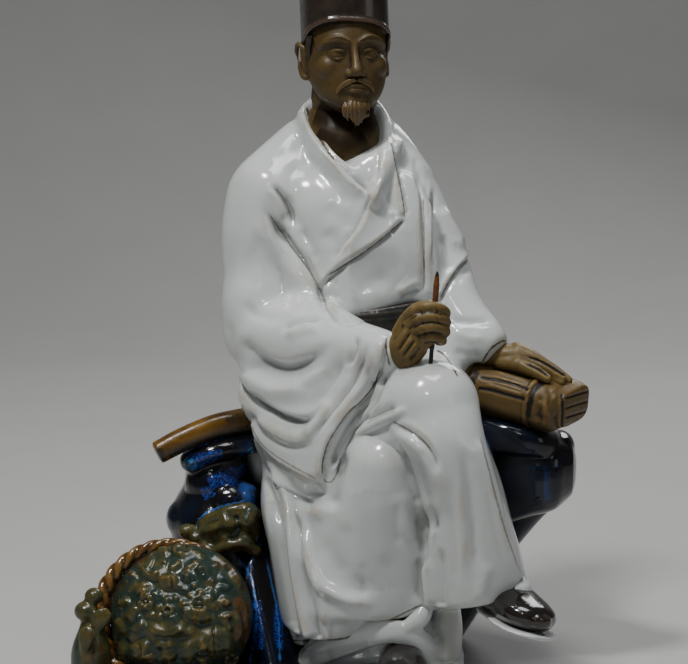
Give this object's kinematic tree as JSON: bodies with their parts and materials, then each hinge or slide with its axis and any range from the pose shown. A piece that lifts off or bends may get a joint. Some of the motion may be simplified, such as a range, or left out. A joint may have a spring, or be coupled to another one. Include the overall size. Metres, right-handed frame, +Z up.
{
  "type": "porcelain scholar figure",
  "caption": "Glazed stoneware figure of a seated scholar in a wide white robe and tall cap, holding a brush, one hand on tied books, on a blue glazed rock with a herb basket.",
  "frame": {"origin": "centre of the bounding box at the underside of the base", "axes": "+Z up, the figure faces -Y, its right hand and the basket are towards -X, the books towards +X"},
  "size_m": [0.2222, 0.174, 0.304],
  "materials": {
    "fired_figure": "glossy white glaze on the robe, bare brown clay head, hands and books, dark glazed cap, shoes and girdle, mottled blue glazed rock, olive and amber glazed basket",
    "brush_clay": "semi-gloss brown with a dark tip"
  },
  "bodies": {
    "root": {"figure": "fired_figure", "brush": "brush_clay"}
  },
  "joints": []
}
